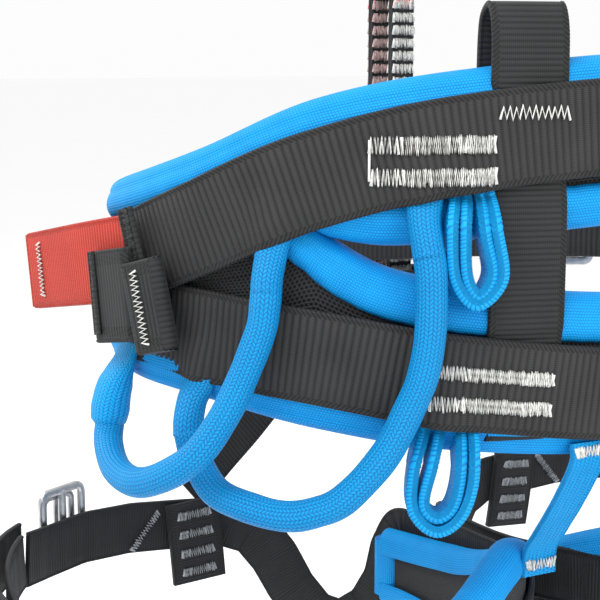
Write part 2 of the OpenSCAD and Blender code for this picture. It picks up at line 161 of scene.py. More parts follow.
def curve(p, closed=False, n=16):
    """A Catmull-Rom curve through given points."""
    p = np.asarray(p, float)
    if closed:
        q = np.vstack([p[-1:], p, p[:2]])
    else:
        q = np.vstack([2 * p[:1] - p[1:2], p, 2 * p[-1:] - p[-2:-1]])
    out = []
    for i in range(1, len(q) - 2):
        u = np.linspace(0, 1, n, endpoint=False)[:, None]
        a, b, c, d = q[i - 1:i + 3]
        out.append(0.5 * (2 * b + (c - a) * u + (2 * a - 5 * b + 4 * c - d) * u**2
                          + (3 * b - a - 3 * c + d) * u**3))
    if not closed:
        out.append(p[-1:])
    return np.vstack(out)


def tangents(p, closed=False):
    if closed:
        return unit(np.roll(p, -1, 0) - np.roll(p, 1, 0))
    return unit(np.gradient(p, axis=0))


def mirror_x(v):
    return v * np.array([-1, 1, 1.0])


class Made:
    """One mesh in the making: sheets of quads with their material index and their uv in millimetres."""

    def __init__(self):
        self.v, self.f, self.uv, self.m = [], [], [], []
        self.n = 0

    def grid(self, pts, closed_s=False, uv=None, mat=0):
        """pts is (stations, points, 3), each section a closed ring; closed_s joins the stations too."""
        n, k = pts.shape[:2]
        if uv is None:
            ds = np.concatenate([[0], np.cumsum(np.linalg.norm(np.diff(pts.mean(1), axis=0), axis=1))])
            dt = np.concatenate([[0], np.cumsum(np.linalg.norm(np.diff(pts[n // 2], axis=0), axis=1))])
            uv = np.stack(np.broadcast_arrays(ds[:, None], dt[None, :]), -1)
        base = self.n
        self.v.append(pts.reshape(-1, 3))
        self.n += n * k
        i = np.arange(n if closed_s else n - 1)[:, None]
        j = np.arange(k)[None, :]
        i2, j2 = (i + 1) % n, (j + 1) % k
        a, b, c, d = i * k + j, i * k + j2, i2 * k + j2, i2 * k + j
        quads = np.stack([a, b, c, d], -1).reshape(-1, 4)
        flat = uv.reshape(-1, 2)
        q = flat[quads]
        # the last strip of a closed section runs on instead of jumping back
        per = flat[k - 1, 1] - flat[0, 1] + np.linalg.norm(pts[n // 2, 0] - pts[n // 2, -1])
        wrap = np.broadcast_to(j == k - 1, a.shape).reshape(-1)
        q[wrap, 1:3, 1] = flat[0, 1] + per
        self.f.extend((quads + base).tolist())
        self.uv.extend(q.reshape(-1, 2).tolist())
        self.m.extend([mat] * len(quads))
        if not closed_s:
            first = [base + x for x in range(k)][::-1]
            last = [base + (n - 1) * k + x for x in range(k)]
            for ids in (first, last):
                self.f.append(ids)
                self.uv.extend([[0.0, 0.0]] * k)
                self.m.append(mat)

    def build(self, name, mats, body, nodes=(), slot=None, mirror=False):
        """Makes the mesh object, riding on body unless that is None, in place of the CAD nodes named."""
        v = np.vstack(self.v) * MM
        if mirror:
            v = mirror_x(v)
        me = bpy.data.meshes.new(name)
        me.from_pydata(v.tolist(), [], self.f)
        layer = me.uv_layers.new(name="cloth")
        layer.data.foreach_set("uv", np.array(self.uv).astype(np.float32).reshape(-1))
        me.polygons.foreach_set("material_index", self.m)
        me.polygons.foreach_set("use_smooth", [True] * len(self.f))
        for m in mats:
            me.materials.append(m)
        bm = bmesh.new()
        bm.from_mesh(me)
        bmesh.ops.recalc_face_normals(bm, faces=bm.faces)
        bm.to_mesh(me)
        bm.free()
        o = bpy.data.objects.new(name, me)
        bpy.context.scene.collection.objects.link(o)
        if body:
            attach(o, body)
        if nodes:
            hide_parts(*nodes)
        return o


def frames_sweep(made, p, out, section, closed=False, mat=0, uv=None):
    """Sweeps sections (stations, points, 2) along p: x across (binormal), y along `out`."""
    t = tangents(p, closed)
    out = unit(out - (out * t).sum(-1, keepdims=True) * t)
    side = np.cross(out, t)
    if section.ndim == 2:
        section = np.broadcast_to(section, (len(p),) + section.shape)
    pts = p[:, None] + section[..., :1] * side[:, None] + section[..., 1:] * out[:, None]
    made.grid(pts, closed_s=closed, uv=uv, mat=mat)
    return made


RIB = 5  # stations to a rib


def webbing(made, p, out, w, t=WEB_T, pitch=2.4, rib=0.24, closed=False, mat=0, selvedge=1.5):
    """Ribbed flat webbing along a path: out is the normal of its face."""
    q = resample(np.hstack([p, out]), pitch / RIB, closed)
    p, out = q[:, :3], unit(q[:, 3:])
    k = np.arange(len(p))
    ridge = rib * (np.abs(np.sin(math.pi * k / RIB)) ** 0.8 - 0.6)
    twist = 0.16 * np.sin(2 * math.pi * k / RIB * 1.7)
    e = w / 2
    xs = np.array([-e, -e + 0.35, -e + 0.9, -e + selvedge, -e + selvedge + 0.3, -e * 0.5, 0,
                   e * 0.5, e - selvedge - 0.3, e - selvedge, e - 0.9, e - 0.35, e])
    inside = np.array([0, 0, 0, 0, 1, 1, 1, 1, 1, 0, 0, 0, 0.0])
    bead = np.array([-t / 2, 0.0, 0.2, -0.12, 0, 0, 0, 0, 0, -0.12, 0.2, 0.0, -t / 2])
    hot = np.array([0, 1, 1, 0, 0, 0, 0, 0, 0, 0, 1, 1, 0.0])
    h = t / 2 + inside * ridge[:, None] + bead + hot * twist[:, None]
    top = np.stack([np.broadcast_to(xs, h.shape), h], -1)
    low = np.stack([np.broadcast_to(xs[::-1][1:-1], h[:, 1:-1].shape), -h[:, ::-1][:, 1:-1]], -1)
    sec = np.concatenate([top, low], 1)
    ds = np.linalg.norm(np.diff(p, axis=0), axis=1)
    s = np.concatenate([[0], np.cumsum(ds)])
    v = np.concatenate([xs + 100, 200 - xs[::-1][1:-1]])
    uv = np.stack(np.broadcast_arrays(s[:, None], v[None, :]), -1)
    return frames_sweep(made, p, out, sec, closed, mat, uv=uv)


def circle_section(r, n):
    a = np.linspace(0, 2 * math.pi, n, endpoint=False)
    return np.stack([r * np.cos(a), r * np.sin(a)], -1)


def thread(made, pts, r=0.42, mat=0, sides=6, out=None):
    """A stitch thread through points."""
    p = np.asarray(pts, float)
    ref = np.broadcast_to(np.array([0.31, 0.2, 0.93]) if out is None else out, p.shape).copy()
    return frames_sweep(made, p, ref, circle_section(r, sides), mat=mat)


THREAD_LIFT = 0.25


def bartack(made, at, along, across, out, length, width, pitch=1.15, r=0.42, mat=0, dense=True):
    """A zigzag row of stitching centred on `at`."""
    n = int(length / pitch)
    i = np.arange(2 * n + 1)
    x = -length / 2 + length * i / (2 * n)
    y = np.where(i % 2 == 0, -width / 2, width / 2) + rng.normal(0, 0.16, len(i))
    x = x + rng.normal(0, 0.08, len(i))
    pts = at + x[:, None] * along + y[:, None] * across + THREAD_LIFT * out
    thread(made, pts, r, mat, out=out)
    if dense:
        sel = slice(0, max(6, n // 2))
        thread(made, pts[sel] + 0.35 * along + 0.2 * out, r, mat, out=out)
        thread(made, pts[::-1][sel] - 0.3 * along + 0.2 * out, r, mat, out=out)
    return made


# --- materials -------------------------------------------------------------------------------------

def node_mat(name, color, rough=0.7, sheen=0.0, metallic=0.0, spec=0.22):
    m = bpy.data.materials.new(name)
    m.use_nodes = True
    nt = m.node_tree
    b = nt.nodes["Principled BSDF"]
    b.inputs["Roughness"].default_value = rough
    b.inputs["Metallic"].default_value = metallic
    b.inputs["Specular IOR Level"].default_value = spec
    b.inputs["Sheen Weight"].default_value = sheen
    b.inputs["Sheen Roughness"].default_value = 0.4
    b.inputs["Base Color"].default_value = (*color, 1)
    m.diffuse_color = (*color, 1)
    return m, nt, b


def math_node(nt, op, a, b=None, c=None):
    n = nt.nodes.new("ShaderNodeMath")
    n.operation = op
    for i, x in enumerate((a, b, c)):
        if x is None:
            continue
        if isinstance(x, (int, float)):
            n.inputs[i].default_value = x
        else:
            nt.links.new(x, n.inputs[i])
    return n.outputs[0]


def uv_parts(nt):
    u = nt.nodes.new("ShaderNodeUVMap")
    u.uv_map = "cloth"
    s = nt.nodes.new("ShaderNodeSeparateXYZ")
    nt.links.new(u.outputs[0], s.inputs[0])
    return s.outputs[0], s.outputs[1]


def wave(nt, x, pitch, phase=0.0):
    """|sin| of x with the given pitch, 0 to 1."""
    y = math_node(nt, "MULTIPLY_ADD", x, math.pi / pitch, phase)
    return math_node(nt, "ABSOLUTE", math_node(nt, "SINE", y))


def noise(nt, scale, detail=3.0):
    tc = nt.nodes.new("ShaderNodeTexCoord")
    n = nt.nodes.new("ShaderNodeTexNoise")
    n.inputs["Scale"].default_value = scale
    n.inputs["Detail"].default_value = detail
    nt.links.new(tc.outputs["Object"], n.inputs["Vector"])
    return n.outputs["Fac"]


def ramp(nt, fac, dark, light, lo=0.0, hi=1.0):
    r = nt.nodes.new("ShaderNodeValToRGB")
    r.color_ramp.elements[0].position = lo
    r.color_ramp.elements[1].position = hi
    r.color_ramp.elements[0].color = (*dark, 1)
    r.color_ramp.elements[1].color = (*light, 1)
    nt.links.new(fac, r.inputs[0])
    return r.outputs[0]


def bump(nt, b, height, strength, dist):
    n = nt.nodes.new("ShaderNodeBump")
    n.inputs["Strength"].default_value = strength
    n.inputs["Distance"].default_value = dist
    nt.links.new(height, n.inputs["Height"])
    nt.links.new(n.outputs[0], b.inputs["Normal"])


def mottled(nt, height, scale=60.0, amount=0.35):
    """Weave height with slow variation added, for colour."""
    weave = math_node(nt, "MULTIPLY", height, 1 - amount)
    return math_node(nt, "MULTIPLY_ADD", noise(nt, scale), amount, weave)


def knit(name, dark, light, pitch=0.95, sheen=0.25, rough=0.62):
    """Close knit cloth: staggered dots."""
    m, nt, b = node_mat(name, light, rough, sheen)
    u, v = uv_parts(nt)
    row = math_node(nt, "FLOOR", math_node(nt, "DIVIDE", v, pitch))
    shift = math_node(nt, "MULTIPLY", math_node(nt, "MODULO", row, 2.0), math.pi / 2)
    dots = math_node(nt, "ABSOLUTE", math_node(nt, "SINE", math_node(nt, "ADD", math_node(
        nt, "MULTIPLY", u, math.pi / pitch), shift)))
    h = math_node(nt, "MULTIPLY", math_node(nt, "POWER", dots, 0.6), math_node(
        nt, "POWER", wave(nt, v, pitch), 0.6))
    nt.links.new(ramp(nt, mottled(nt, h, 90, 0.3), dark, light, 0.1, 0.75), b.inputs["Base Color"])
    bump(nt, b, h, 0.55, 0.0003)
    return m


def braid(name, dark, light, pitch=1.7, cols=2.5, sheen=0.2):
    """Herringbone braid: v across in columns, u along."""
    m, nt, b = node_mat(name, light, 0.5, sheen)
    u, v = uv_parts(nt)
    col = math_node(nt, "DIVIDE", v, cols)
    frac = math_node(nt, "FRACT", col)
    odd = math_node(nt, "MODULO", math_node(nt, "FLOOR", col), 2.0)
    sign = math_node(nt, "MULTIPLY_ADD", odd, 2.0, -1.0)
    slant = math_node(nt, "MULTIPLY", math_node(nt, "MULTIPLY", frac, sign), cols * 0.8)
    yarn = wave(nt, math_node(nt, "ADD", u, slant), pitch)
    groove = math_node(nt, "POWER", math_node(nt, "SINE", math_node(nt, "MULTIPLY", frac, math.pi)), 0.35)
    h = math_node(nt, "MULTIPLY", math_node(nt, "POWER", yarn, 0.5), groove)
    nt.links.new(ramp(nt, mottled(nt, h, 70, 0.22), dark, light, 0.12, 0.8), b.inputs["Base Color"])
    bump(nt, b, h, 0.7, 0.0004)
    return m


def ribbed(name, dark, light, pitch=2.4, sheen=0.06, rough=0.6, fine=0.62, half=15.0):
    """Webbing yarn: fine lengthwise warp broken by the ribs, with braided edges at half from the middle."""
    m, nt, b = node_mat(name, light, rough, sheen, spec=0.2)
    u, v = uv_parts(nt)
    warp = wave(nt, v, fine)
    rib = wave(nt, u, pitch)
    weft = wave(nt, u, pitch / 5)
    h = math_node(nt, "ADD", math_node(nt, "MULTIPLY", warp, 0.35), math_node(
        nt, "ADD", math_node(nt, "MULTIPLY", rib, 0.5), math_node(nt, "MULTIPLY", weft, 0.15)))
    far = math_node(nt, "ABSOLUTE", math_node(nt, "SUBTRACT", v, 100.0))
    at_edge = math_node(nt, "MULTIPLY", math_node(nt, "GREATER_THAN", far, half - 2.3), math_node(
        nt, "LESS_THAN", far, half + 1.0))
    plait = wave(nt, math_node(nt, "MULTIPLY_ADD", far, 0.9, u), 1.5)
    h = math_node(nt, "ADD", math_node(nt, "MULTIPLY", h, math_node(nt, "SUBTRACT", 1.0, at_edge)), math_node(
        nt, "MULTIPLY", math_node(nt, "MULTIPLY_ADD", plait, 0.55, 0.12), at_edge))
    nt.links.new(ramp(nt, mottled(nt, h, 55, 0.3), dark, light, 0.2, 0.85), b.inputs["Base Color"])
    bump(nt, b, h, 0.5, 0.0003)
    return m


def mesh_cloth(name, dark, light, pitch=1.5):
    """Open knit mesh: dark holes in a staggered grid."""
    m, nt, b = node_mat(name, light, 0.8, 0.1)
    u, v = uv_parts(nt)
    row = math_node(nt, "FLOOR", math_node(nt, "DIVIDE", v, pitch * 0.8))
    shift = math_node(nt, "MULTIPLY", math_node(nt, "MODULO", row, 2.0), math.pi / 2)
    a = math_node(nt, "ABSOLUTE", math_node(nt, "SINE", math_node(nt, "ADD", math_node(
        nt, "MULTIPLY", u, math.pi / pitch), shift)))
    h = math_node(nt, "SUBTRACT", 1.0, math_node(nt, "MULTIPLY", a, wave(nt, v, pitch * 0.8)))
    nt.links.new(ramp(nt, h, dark, light, 0.25, 0.6), b.inputs["Base Color"])
    bump(nt, b, h, 0.8, 0.0006)
    return m


def plain_metal(name, color, rough):
    m, nt, b = node_mat(name, color, rough, 0, 1.0, 0.5)
    n = noise(nt, 400, 4)
    nt.links.new(ramp(nt, n, tuple(c * 0.75 for c in color), color, 0.3, 0.7), b.inputs["Base Color"])
    nt.links.new(math_node(nt, "MULTIPLY_ADD", n, 0.2, rough - 0.1), b.inputs["Roughness"])
    bump(nt, b, n, 0.15, 0.0002)
    return m


def yarn(name, color):
    m, nt, b = node_mat(name, color, 0.75, 0.2)
    n = noise(nt, 900, 2)
    nt.links.new(ramp(nt, n, tuple(c * 0.7 for c in color), color, 0.3, 0.6), b.inputs["Base Color"])
    bump(nt, b, n, 0.4, 0.0002)
    return m


BLUE_KNIT = knit("blue_knit", (0.0, 0.12, 0.40), (0.0, 0.33, 0.76), sheen=0.0)
BLUE_BRAID = braid("blue_braid", (0.0, 0.08, 0.28), (0.0, 0.27, 0.60), 1.3, 1.25, sheen=0.0)
BLUE_FLAT = braid("blue_flat_webbing", (0.0, 0.12, 0.38), (0.0, 0.33, 0.72), 1.2, 1.6, sheen=0.0)
BLACK_WEB = ribbed("black_webbing", (0.004, 0.004, 0.0045), (0.042, 0.042, 0.043))
BLACK_STRAP = ribbed("black_strap", (0.004, 0.004, 0.0045), (0.032, 0.033, 0.034), 1.8, half=12.5)
BLACK_SMOOTH = ribbed("black_leg_webbing", (0.004, 0.004, 0.005), (0.024, 0.025, 0.027), 1.2, half=11.0)
MESH = mesh_cloth("black_mesh", (0.004, 0.004, 0.004), (0.035, 0.035, 0.037))
RED = ribbed("red_webbing", (0.22, 0.010, 0.006), (0.5, 0.045, 0.026), 1.8, half=14.5)
WHITE_YARN = yarn("white_thread", (0.82, 0.82, 0.78))
GREY_YARN = yarn("grey_thread", (0.33, 0.35, 0.37))
RED_YARN = yarn("red_thread", (0.75, 0.06, 0.04))
PINK_YARN = yarn("pale_red_thread", (0.72, 0.5, 0.48))
STEEL = plain_metal("brushed_steel", (0.62, 0.63, 0.64), 0.34)
STEEL_DARK = plain_metal("brushed_steel_bar", (0.5, 0.51, 0.53), 0.4)

# --- belt pads -------------------------------------------------------------------------------------

def join(a):
    return (belt_z(a, 2) + belt_z(a, 3)) / 2 + 0.8 * np.maximum(0, np.where(a > 90, 150 - a, a - 30))


def blend01(x):
    x = np.clip(x, 0, 1)
    return x * x * (3 - 2 * x)


def in_slot(a):
    return (a > SLOT_START) & (a < 180 - SLOT_START)


def upper_low(a):
    return np.where(in_slot(a), slot_z(a, 1), join(a) - 2)


def lower_high(a):
    return np.where(in_slot(a), slot_z(a, 2), join(a) + 2)


def pad_section(z0, z1, n=14):
    """Section of a pad between two heights: crowned faces and round edges, (out, height)."""
    mid, half = (BIND_IN + BIND_OUT) / 2, (BIND_OUT - BIND_IN) / 2 - 1.0
    t = np.linspace(0, 2 * math.pi, 4 * n, endpoint=False)
    ex = 2 / 5.5
    c, s = np.cos(t), np.sin(t)
    x = mid + half * np.sign(c) * np.abs(c) ** ex
    hz = (z1 - z0) / 2 - 0.8
    y = (z0 + z1)[:, None] / 2 + hz[:, None] * np.sign(s) * np.abs(s) ** ex
    x = np.broadcast_to(x, y.shape)
    return np.stack([x, y], -1)


def ring_grid(a, sec):
    pts = ring(a[:, None], sec[..., 0], 0)
    pts[..., 2] = sec[..., 1]
    return pts


def pad(name, lo, hi, nodes):
    a = np.arange(-PAD_END, 180 + PAD_END + 0.1, 1.5)
    made = Made()
    made.grid(ring_grid(a, pad_section(lo(a), hi(a))), mat=0)
    o = made.build(name, [MESH], "belt", nodes, "black_mesh")
    return o


def binding(name, a, z, s, leg, nodes, puff=1.3, leg_in=10.0, place=ring, normal=ring_out,
            across=(BIND_IN - 0.8, BIND_OUT), body="belt", mirror=False):
    """Knit binding rolled over a pad edge at height z(a); s is +1 where it opens upwards."""
    made = Made()
    zz = z(a)
    wob = 0.35 * np.sin(a * 1.9) + 0.25 * np.sin(a * 4.3 + 1)
    o0, o1 = across
    w = o1 - o0
    leg = leg(a) if callable(leg) else np.full(len(a), leg)
    outer, inner = [], []
    cx, r = (o0 + o1) / 2, w / 2
    arc = np.linspace(0, math.pi, 15)
    down = np.linspace(1, 0, 9)[:-1]
    up = down[::-1]
    for i in range(len(a)):
        h = leg[i] + wob[i] * 0.4
        roll = np.stack([cx + (r + 0.35) * np.cos(arc),
                         zz[i] + s * (r * 0.82 - r * 0.82 * np.sin(arc) ** 0.85)], -1)
        fro = np.stack([o1 + 0.35 + puff * np.sin(math.pi * down) ** 0.8 - 0.9 * down**6,
                        zz[i] + s * (r * 0.82 + (h - r * 0.82) * down)], -1)
        bac = np.stack([o0 - 0.35 - 0.5 * np.sin(math.pi * up),
                        zz[i] + s * (r * 0.82 + (leg_in - r * 0.82) * (up + 0.125))], -1)
        line = np.vstack([fro, roll, bac])
        outer.append(line)
        d = np.gradient(line, axis=0)
        nrm = np.stack([-d[:, 1], d[:, 0]], -1) * s
        nrm /= np.linalg.norm(nrm, axis=1, keepdims=True) + 1e-9
        inner.append(line + 0.9 * nrm)
    outer, inner = np.array(outer), np.array(inner)
    sec = np.concatenate([outer, inner[:, ::-1]], 1)
    made.grid(place(a[:, None], sec[..., 0], sec[..., 1]), mat=0)
    # edge stitching: a thin rolled seam along the outer leg's end
    seam = resample(np.hstack([place(a, o1 + 0.7, zz + s * (leg - 1.6)), normal(a)]), 1.2)
    frames_sweep(made, seam[:, :3], seam[:, 3:], circle_section(0.45, 6), mat=0)
    return made.build(name, [BLUE_KNIT], body, nodes, "blue_binding", mirror=mirror)


pad("upper_pad", upper_low, lambda a: belt_z(a, 1), ["upper_foam", "outer_mesh", "inner_lining"])
pad("lower_pad", lambda a: belt_z(a, 4), lower_high, ["lower_foam"])
ALL_A = np.arange(-PAD_END, 180 + PAD_END + 0.1, 1.5)
SLOT_A = np.arange(SLOT_START - 7, 180 - SLOT_START + 7.1, 1.5)
binding("upper_edge_roll", ALL_A, lambda a: belt_z(a, 1), -1, 13.0, ["upper_edge_binding"])
binding("lower_edge_roll", ALL_A, lambda a: belt_z(a, 4), 1, 13.0, ["lower_edge_binding"])
binding("upper_slot_roll", SLOT_A, lambda a: slot_edge(a, 1), 1, 13.0, ["upper_slot_binding"])
binding("lower_slot_roll", SLOT_A, lambda a: slot_edge(a, 2), -1, 14.0, ["lower_slot_binding"])

# --- belt webbing ----------------------------------------------------------------------------------

WEB_A = np.arange(-PAD_END + 5, 180 + PAD_END - 4.9, 0.5)
BELT_RIB = 0.34


def dip(a):
    """0 up to 24 degrees, where the lower webbing lies on the pad, rising to 1 from 36 degrees on."""
    b = np.where(a > 90, 180 - a, a)
    return blend01((b - 24) / 12)


def curved_bartack(made, a0, a1, z0, z1, off, width, pitch=1.1, r=0.45, dense=True):
    """A zigzag row that follows the belt from angle a0 to a1; dense sews parts of it over again."""
    n = int(np.linalg.norm(ring(a1, off, z1) - ring(a0, off, z0)) / pitch)
    i = np.arange(2 * n + 1)
    f = i / (2 * n)
    y = np.where(i % 2 == 0, -width / 2, width / 2) + rng.normal(0, 0.2, len(i))
    a = a0 + (a1 - a0) * f
    z = z0 + (z1 - z0) * f + y
    lift = 0.2 + 0.15 * rng.random(len(i))
    pts = ring(a, off, z) + ring_out(a) * lift[:, None]
    thread(made, pts, r, out=ring_out(a))
    if dense:
        first, last, middle = slice(0, n // 2), slice(len(i) - n // 2, len(i)), slice(n // 2, 2 * n)
        for part, sh in ((first, 0.25), (last, -0.2), (middle, 0.5)):
            q = ring(a + sh * 0.4, off, z + rng.normal(0, 0.15, len(i)))[part] + ring_out(a[part]) * 0.45
            thread(made, q, r, out=ring_out(a[part]))


# angle, half width and lift of each bulge over a sewn-in loop
UPPER_PUFFS = ((35.1, 3.2, 4.6), (55.4, 2.8, 4.6), (61.5, 3.4, 3.4))
LOWER_PUFFS = ((21.7, 3.2, 3.6), (3.0, 3.4, 2.5), (58.3, 4.4, 3.6))


def puff_webbing(made, k, spots):
    """Lifts the webbing's lower edge over each loop that is sewn in under it."""
    for i, v in enumerate(made.v):
        phi = np.degrees(np.arctan2(v[:, 1] / WAIST_B, v[:, 0] / WAIST_A))
        below = blend01((belt_z(phi, k) + 6 - v[:, 2]) / 20)
        for a0, half, lift in spots:
            d = np.minimum(np.abs(phi - a0), np.abs(180 - phi - a0)) / half
            v = v + (lift * below * np.exp(-d**2))[:, None] * ring_out(phi)
        made.v[i] = v


def belt_webbings():
    out = ring_out(WEB_A)
    p = ring(WEB_A, WEB_OFF + WEB_T / 2, belt_z(WEB_A, 2))
    made = webbing(Made(), p, out, WEB_W, rib=BELT_RIB)
    puff_webbing(made, 2, UPPER_PUFFS)
    made.build("upper_belt_webbing", [BLACK_WEB], "belt", ["upper_webbing"], "black_webbing")
    off = STRAP_OFF + (WEB_OFF - STRAP_OFF) * dip(WEB_A)
    p = ring(WEB_A, off + WEB_T / 2, belt_z(WEB_A, 3))
    made = webbing(Made(), p, out, WEB_W, rib=BELT_RIB)
    puff_webbing(made, 3, LOWER_PUFFS)
    made.build("lower_belt_webbing", [BLACK_WEB], "belt", ["lower_webbing"], "black_webbing")


belt_webbings()


def belt_bartacks(side, mirror):
    made = Made()
    top = WEB_OFF + WEB_T + 0.1
    curved_bartack(made, 48.3, 64.1, 32.9, 33.2, top, 4.8)
    curved_bartack(made, 48.6, 64.2, 23.2, 23.6, top, 4.6)
    thread(made, [ring(48.4, top + 0.3, z) for z in (34.5, 30, 26, 22)], 0.42)
    curved_bartack(made, 64.6, 73.4, 42.6, 42.4, top, 3.6, pitch=1.9, dense=False)
    puff_webbing(made, 2, UPPER_PUFFS)
    made.build("upper_bartacks" + side, [WHITE_YARN], "belt", (), "black_webbing", mirror=mirror)
    made = Made()
    curved_bartack(made, 57.4, 72.3, -36.8, -40.6, top, 3.8)
    curved_bartack(made, 56.2, 72.0, -46.0, -50.2, top, 3.8)
    puff_webbing(made, 3, LOWER_PUFFS)
    made.build("lower_bartacks" + side, [WHITE_YARN], "belt", (), "black_webbing", mirror=mirror)


for side, mirror in SIDES:
    belt_bartacks(side, mirror)

BACK_A, BACK_TOP, BACK_INNER = 68.6, 75.0, -11.7
BACK_BEND_R = 165.0


def back_strap(side, mirror):
    """Up the outside of the belt, over the top as a loop, and down inside."""
    out_o, in_o = STRAP_OFF + WEB_T / 2, BACK_INNER - WEB_T / 2
    rise = [[out_o, -60], [out_o, -31], [out_o + 1.6, -22], [out_o + 1.9, -6], [out_o + 1.6, 13], [out_o, 22],
            [out_o, 40], [out_o, 55], [out_o - 0.4, 66], [out_o - 2.5, 72.5]]
    fall = [[in_o + 2.5, 72], [in_o + 0.6, 66], [in_o, 56], [in_o, 44], [in_o, 31]]
    line = curve(rise + [[(out_o + in_o) / 2 + 1, BACK_TOP]] + fall, n=24)
    o, r = ring_out(BACK_A), ring(BACK_A, 0, 0)
    p = r + line[:, :1] * o + line[:, 1:] * UP
    d = tangents(line)
    nrm = np.stack([d[:, 1], -d[:, 0]], -1)
    face = nrm[:, :1] * o + nrm[:, 1:] * UP
    made = webbing(Made(), p, face, STRAP_W, pitch=1.8, rib=0.2)
    # the strap bends round the belt across its width
    side_dir = unit(np.cross(o, UP))
    for i, v in enumerate(made.v):
        x = (v - r) @ side_dir
        made.v[i] = v - (x**2 / (2 * BACK_BEND_R))[:, None] * o
    made.build("back_strap" + side, [BLACK_STRAP], "belt", ["back_strap" + side], "black_webbing",
               mirror=mirror)


for side, mirror in SIDES:
    back_strap(side, mirror)


def ring_axes(a, tilt=0.0):
    """Forward, outward and up at angle a of the belt, turned about the outward axis by tilt."""
    out = ring_out(a)
    fwd = np.cross(out, UP)
    c, s = math.cos(math.radians(tilt)), math.sin(math.radians(tilt))
    return c * fwd - s * UP, out, s * fwd + c * UP


def leg_out(a):
    a = np.asarray(a, float)
    return unit(np.cross(leg_ring(a + 0.5, 0, 0) - leg_ring(a - 0.5, 0, 0), UP))


def leg_axes(a):
    out = leg_out(a)
    return np.cross(out, UP), out, UP


def oblong(w, h, r, n=8):
    """A rectangle w by h with corner radius r, counter-clockwise."""
    t = np.linspace(0, math.pi / 2, n)
    out = []
    for q, (sx, sy) in enumerate(((1, 1), (-1, 1), (-1, -1), (1, -1))):
        c = np.array([sx * (w / 2 - r), sy * (h / 2 - r)])
        out.append(c + r * np.stack([np.cos(t + q * math.pi / 2), np.sin(t + q * math.pi / 2)], -1))
    return np.vstack(out)


def oval(rx, ry, n=24, p=2.0):
    t = np.linspace(0, 2 * math.pi, n, endpoint=False)
    c, s = np.cos(t), np.sin(t)
    return np.stack([rx * np.sign(c) * np.abs(c) ** (2 / p), ry * np.sign(s) * np.abs(s) ** (2 / p)], -1)


def sleeve(made, at, axes, w, d, height, r=4.0, **kw):
    """A closed band of webbing round the axes' third direction."""
    x, y, z = axes
    q = resample(oblong(w, d, r), 0.8, True)
    p = at + q[:, :1] * x + q[:, 1:] * y
    return webbing(made, p, np.cross(tangents(p, True), z), height, closed=True, **kw)


def stacked(made, at, axes, w, height, deep, layers, **kw):
    """Layers of webbing folded on each other, w along x and height along z."""
    x, y, z = axes
    t = deep / layers
    for i in range(layers):
        s = np.linspace(-w / 2, w / 2, 9)[:, None]
        bow = (0.5 - (s / w) ** 2 * 2) * 0.5
        p = at + s * x + (-deep / 2 + t * (i + 0.5) + bow) * y
        webbing(made, p, np.broadcast_to(y, p.shape), height - 0.5 * i, t=t - 0.15, **kw)
    for e in (-1, 1):
        v = np.linspace(-height / 2 + 0.8, height / 2 - 0.8, 24)[:, None]
        p = at + v * z + e * (w / 2 - deep * 0.1) * x
        frames_sweep(made, p, np.broadcast_to(y, p.shape), oval(deep * 0.45, deep / 2, 16), mat=0)


# --- front strap, keepers and tails ----------------------------------------------------------------

FRONT_Z = -18.0
FRONT_A = np.arange(-146, -33.9, 0.5)
webbing(Made(), ring(FRONT_A, STRAP_OFF + WEB_T / 2, FRONT_Z), ring_out(FRONT_A), WEB_W).build(
    "front_waist_strap", [BLACK_WEB], "belt", ["front_strap"], "black_webbing")

KEEPER_A, KEEPER_Z, KEEPER_DEEP, TILT = 6.0, -19.0, 5.2, 10.0
TAIL_T, TAIL_LIFT, TAIL_LEN = 3.6, 12.0, 80
KEEPER_OFF = WEB_OFF + WEB_T + TAIL_T + 0.6 + KEEPER_DEEP / 2


def keeper(side, mirror):
    """The sleeve that holds the strap's free end, with webbing folded up beside it."""
    at, axes = ring(KEEPER_A, KEEPER_OFF, KEEPER_Z), ring_axes(KEEPER_A, TILT)
    made = Made()
    sleeve(made, at, axes, 24.2, KEEPER_DEEP - WEB_T, 31, r=1.7, pitch=1.8, rib=0.2)
    fold = ring(15.6, KEEPER_OFF + 0.2, KEEPER_Z - 1)
    faxes = ring_axes(15.6, 14)
    stacked(made, fold, faxes, 13, 31, 6.4, 3, pitch=1.8, rib=0.2)
    lean = unit(faxes[2] + 0.06 * faxes[0])
    p = fold + 4.0 * faxes[0] - 2.4 * faxes[1] + np.linspace(10, 33, 9)[:, None] * lean
    webbing(made, p, np.broadcast_to(faxes[1], p.shape), 7, t=1.4, pitch=1.4, rib=0.14)
    # an elastic band behind the fold
    bx = ring_axes(1.0, TILT)
    p = ring(2.0, KEEPER_OFF + 3.4, KEEPER_Z) + np.linspace(-14, 14, 9)[:, None] * bx[2]
    webbing(made, p, np.broadcast_to(bx[1], p.shape), 5, t=1.0, pitch=1.0, rib=0.12)
    sewn = fold + 0.8 * faxes[0] + 3.7 * faxes[1]
    bartack(made, sewn, faxes[2], faxes[0], faxes[1], 24, 3.0, 1.7, 0.42, 1, dense=False)
    made.build("keeper" + side, [BLACK_STRAP, WHITE_YARN], "belt", ["strap_keeper" + side], "black_webbing",
               mirror=mirror)


def tail_sag(s):
    """How far a free strap end leans out, s along it."""
    return 0.9 * np.sin(s / 17.0 + 0.4) - 0.0006 * s**2


